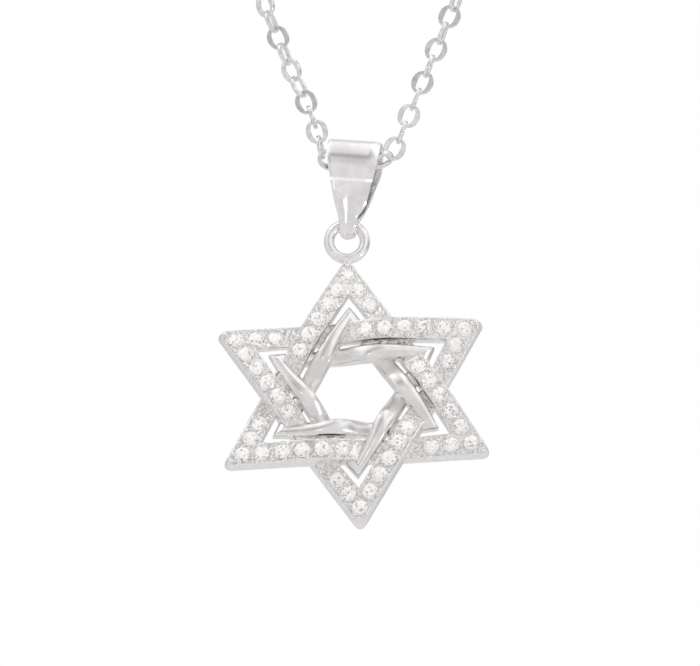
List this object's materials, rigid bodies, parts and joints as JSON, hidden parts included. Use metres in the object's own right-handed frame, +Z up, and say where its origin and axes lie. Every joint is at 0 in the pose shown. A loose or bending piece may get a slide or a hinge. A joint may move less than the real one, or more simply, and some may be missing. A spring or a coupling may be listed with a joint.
{
  "type": "star of david pendant on a chain",
  "caption": "Two woven stone-set triangles with polished inner bars, hung by a ring and a folded bail on a closed fine link chain.",
  "frame": {"origin": "where the chain's loop rests at the back of the neck, at the underside of the clasp", "axes": "+Z up, the loop and the star stand in the XZ plane, the star's front faces -Y, +X is to the viewer's right"},
  "size_m": [0.1039, 0.0044, 0.2159],
  "materials": {
    "silver": "bright polished white metal",
    "clear_stone": "clear cut stone"
  },
  "bodies": {
    "chain": {"chain": "silver", "clasp": "silver"},
    "bail": {"bail": "silver"},
    "star": {"star_frame": "silver", "stones_upright": "clear_stone", "stones_inverted": "clear_stone"}
  },
  "joints": [
    {"name": "bail_swing", "type": "hinge", "parent": "chain", "child": "bail", "pos_m": [-0.00012, 0, -0.18206], "axis": [1, 0, 0], "range_deg": [-90, 90]},
    {"name": "star_swing", "type": "hinge", "parent": "bail", "child": "star", "pos_m": [-0.00066, 0, -0.1868], "axis": [1, 0, 0], "range_deg": [-90, 90]}
  ]
}
